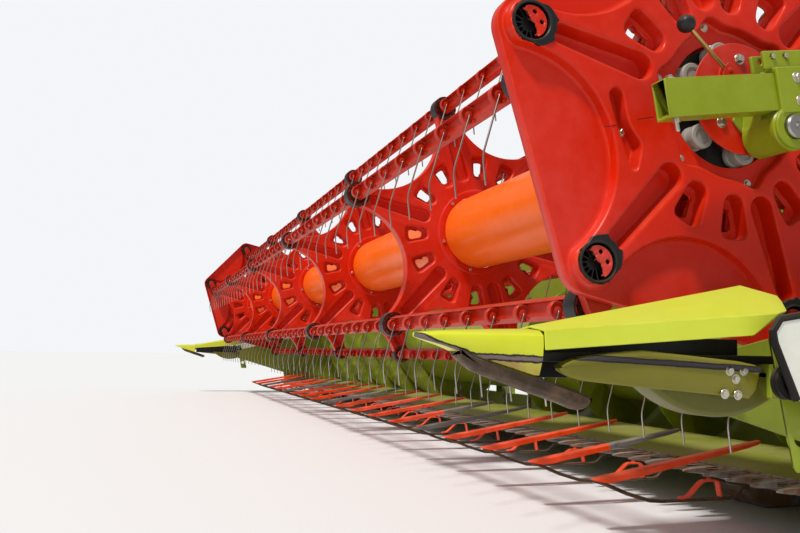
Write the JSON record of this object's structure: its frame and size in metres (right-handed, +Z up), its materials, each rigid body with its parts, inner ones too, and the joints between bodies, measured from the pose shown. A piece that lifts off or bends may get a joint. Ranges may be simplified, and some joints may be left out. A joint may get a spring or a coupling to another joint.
{
  "type": "combine harvester header",
  "caption": "Wide grain-cutting header for a combine: table with knife, auger, crop lifters, side dividers and a pick-up reel on lift arms.",
  "frame": {"origin": "on the floor under the middle of the header's plan", "axes": "+X to the machine's left, -Y to the front (knife side), +Z up"},
  "size_m": [6.8408, 2.3, 1.3851],
  "materials": {
    "lime_paint": "gloss",
    "lime_plastic": "satin",
    "red_plastic": "satin",
    "red_paint": "gloss",
    "orange_paint": "gloss",
    "black_plastic": "matte",
    "knife_steel": "worn",
    "tine_steel": "satin",
    "grey_paint": "worn",
    "ram_black": "satin",
    "chrome_rod": "polished",
    "cover_white": "satin",
    "skid_steel": "worn",
    "runner_steel": "worn",
    "belt_rubber": "matte",
    "lever_brass": "worn"
  },
  "bodies": {
    "header": {"back_frame": "lime_paint", "back_panel": "lime_paint", "table_trough": "lime_paint", "side_wall_left": "lime_paint", "side_wall_right": "lime_paint", "knife_guards": "knife_steel", "lifters_red": "red_paint", "lifters_grey": "grey_paint", "skid_shoes": "skid_steel", "divider_nose_left": "lime_plastic", "divider_nose_right": "lime_plastic", "divider_fairing_left": "lime_plastic", "divider_fairing_right": "lime_plastic", "divider_runner_left": "runner_steel", "divider_runner_right": "runner_steel", "cover_stays_left": "lime_paint", "cover_stays_right": "lime_paint", "knife_drive": "belt_rubber", "deflector_left": "lime_plastic", "deflector_right": "lime_plastic", "divider_bracket_left": "lime_paint", "divider_bracket_right": "lime_paint"},
    "knife": {"knife_sections": "knife_steel"},
    "auger": {"auger_tube": "lime_paint", "auger_flights": "lime_paint", "auger_fingers": "knife_steel"},
    "arm_left": {"arm_left": "lime_paint"},
    "arm_right": {"arm_right": "lime_paint"},
    "carriage_left": {"carriage_left": "lime_paint", "eccentric_left": "red_paint", "depth_lever": "lever_brass"},
    "carriage_right": {"carriage_right": "lime_paint", "eccentric_right": "red_paint"},
    "lift_barrel_left": {"lift_barrel_left": "ram_black"},
    "lift_barrel_right": {"lift_barrel_right": "ram_black"},
    "lift_rod_left": {"lift_rod_left": "chrome_rod"},
    "lift_rod_right": {"lift_rod_right": "chrome_rod"},
    "reel": {"reel_tube": "orange_paint", "reel_shafts": "tine_steel", "reel_stars": "red_plastic", "star_bearings": "black_plastic"},
    "control_plate_left": {"control_plate_left": "red_plastic", "plate_bearings_left": "black_plastic"},
    "control_plate_right": {"control_plate_right": "red_plastic", "plate_bearings_right": "black_plastic"},
    "side_cover_left": {"side_cover_left": "cover_white"},
    "side_cover_right": {"side_cover_right": "cover_white"},
    "tine_bar_1": {"tine_bar_1": "red_paint", "tines_1": "tine_steel"},
    "tine_bar_2": {"tine_bar_2": "red_paint", "tines_2": "tine_steel"},
    "tine_bar_3": {"tine_bar_3": "red_paint", "tines_3": "tine_steel"},
    "tine_bar_4": {"tine_bar_4": "red_paint", "tines_4": "tine_steel"},
    "tine_bar_5": {"tine_bar_5": "red_paint", "tines_5": "tine_steel"},
    "tine_bar_6": {"tine_bar_6": "red_paint", "tines_6": "tine_steel"}
  },
  "joints": [
    {"name": "reel_lift", "type": "hinge", "parent": "header", "child": "arm_left", "pos_m": [3.238, 0.95, 1.11424], "axis": [-1, 0, 0], "range_deg": [-1, 26]},
    {"name": "reel_lift_right", "type": "hinge", "parent": "header", "child": "arm_right", "pos_m": [-3.238, 0.95, 1.11424], "axis": [-1, 0, 0], "range_deg": [-1, 26]},
    {"name": "lift_barrel_left", "type": "hinge", "parent": "header", "child": "lift_barrel_left", "pos_m": [3.238, 0.45, 0.47], "axis": [-1, 0, 0], "range_deg": [-1, 11]},
    {"name": "lift_rod_left", "type": "slide", "parent": "lift_barrel_left", "child": "lift_rod_left", "axis": [0, -0.4688, 0.8833], "range_m": [-0.02, 0.336]},
    {"name": "lift_barrel_right", "type": "hinge", "parent": "header", "child": "lift_barrel_right", "pos_m": [-3.238, 0.45, 0.47], "axis": [-1, 0, 0], "range_deg": [-1, 11]},
    {"name": "lift_rod_right", "type": "slide", "parent": "lift_barrel_right", "child": "lift_rod_right", "axis": [0, -0.4688, 0.8833], "range_m": [-0.02, 0.336]},
    {"name": "reel_fore_aft", "type": "slide", "parent": "arm_left", "child": "carriage_left", "axis": [0, 0.9863, 0.165], "range_m": [-0.1, 0.2]},
    {"name": "reel_fore_aft_right", "type": "slide", "parent": "arm_right", "child": "carriage_right", "axis": [0, 0.9863, 0.165], "range_m": [-0.1, 0.2]},
    {"name": "reel_spin", "type": "hinge", "parent": "carriage_left", "child": "reel", "pos_m": [0, -0.39, 0.82], "axis": [1, 0, 0], "continuous": true},
    {"name": "control_plate_left", "type": "hinge", "parent": "carriage_left", "child": "control_plate_left", "pos_m": [3.048, -0.426, 0.895], "axis": [1, 0, 0], "continuous": true},
    {"name": "control_plate_right", "type": "hinge", "parent": "carriage_right", "child": "control_plate_right", "pos_m": [-3.048, -0.426, 0.895], "axis": [1, 0, 0], "continuous": true},
    {"name": "tine_bar_1", "type": "hinge", "parent": "reel", "child": "tine_bar_1", "pos_m": [0, -0.08368, 1.14964], "axis": [1, 0, 0], "continuous": true},
    {"name": "tine_bar_2", "type": "hinge", "parent": "reel", "child": "tine_bar_2", "pos_m": [0, -0.52232, 1.25011], "axis": [1, 0, 0], "continuous": true},
    {"name": "tine_bar_3", "type": "hinge", "parent": "reel", "child": "tine_bar_3", "pos_m": [0, -0.82864, 0.92046], "axis": [1, 0, 0], "continuous": true},
    {"name": "tine_bar_4", "type": "hinge", "parent": "reel", "child": "tine_bar_4", "pos_m": [0, -0.69632, 0.49036], "axis": [1, 0, 0], "continuous": true},
    {"name": "tine_bar_5", "type": "hinge", "parent": "reel", "child": "tine_bar_5", "pos_m": [0, -0.25768, 0.38989], "axis": [1, 0, 0], "continuous": true},
    {"name": "tine_bar_6", "type": "hinge", "parent": "reel", "child": "tine_bar_6", "pos_m": [0, 0.04864, 0.71954], "axis": [1, 0, 0], "continuous": true},
    {"name": "auger_spin", "type": "hinge", "parent": "header", "child": "auger", "pos_m": [0, 0.56, 0.41], "axis": [1, 0, 0], "continuous": true},
    {"name": "knife_stroke", "type": "slide", "parent": "header", "child": "knife", "axis": [1, 0, 0], "range_m": [-0.038, 0.038]},
    {"name": "side_cover_left", "type": "hinge", "parent": "header", "child": "side_cover_left", "pos_m": [3.4114, 0.99, 0.6], "axis": [0, 0, 1], "range_deg": [0, 80]},
    {"name": "side_cover_right", "type": "hinge", "parent": "header", "child": "side_cover_right", "pos_m": [-3.4114, 0.99, 0.6], "axis": [0, 0, -1], "range_deg": [0, 80]}
  ],
  "couplings": [
    {"joint": "reel_lift_right", "follows": "reel_lift", "ratio": 1},
    {"joint": "lift_barrel_left", "follows": "reel_lift", "ratio": 0.394},
    {"joint": "lift_rod_left", "follows": "reel_lift", "m_per_rad": 0.715},
    {"joint": "lift_barrel_right", "follows": "reel_lift", "ratio": 0.394},
    {"joint": "lift_rod_right", "follows": "reel_lift", "m_per_rad": 0.715},
    {"joint": "reel_fore_aft_right", "follows": "reel_fore_aft", "ratio": 1},
    {"joint": "control_plate_left", "follows": "reel_spin", "ratio": 1},
    {"joint": "control_plate_right", "follows": "reel_spin", "ratio": 1},
    {"joint": "tine_bar_1", "follows": "reel_spin", "ratio": -1},
    {"joint": "tine_bar_2", "follows": "reel_spin", "ratio": -1},
    {"joint": "tine_bar_3", "follows": "reel_spin", "ratio": -1},
    {"joint": "tine_bar_4", "follows": "reel_spin", "ratio": -1},
    {"joint": "tine_bar_5", "follows": "reel_spin", "ratio": -1},
    {"joint": "tine_bar_6", "follows": "reel_spin", "ratio": -1}
  ]
}
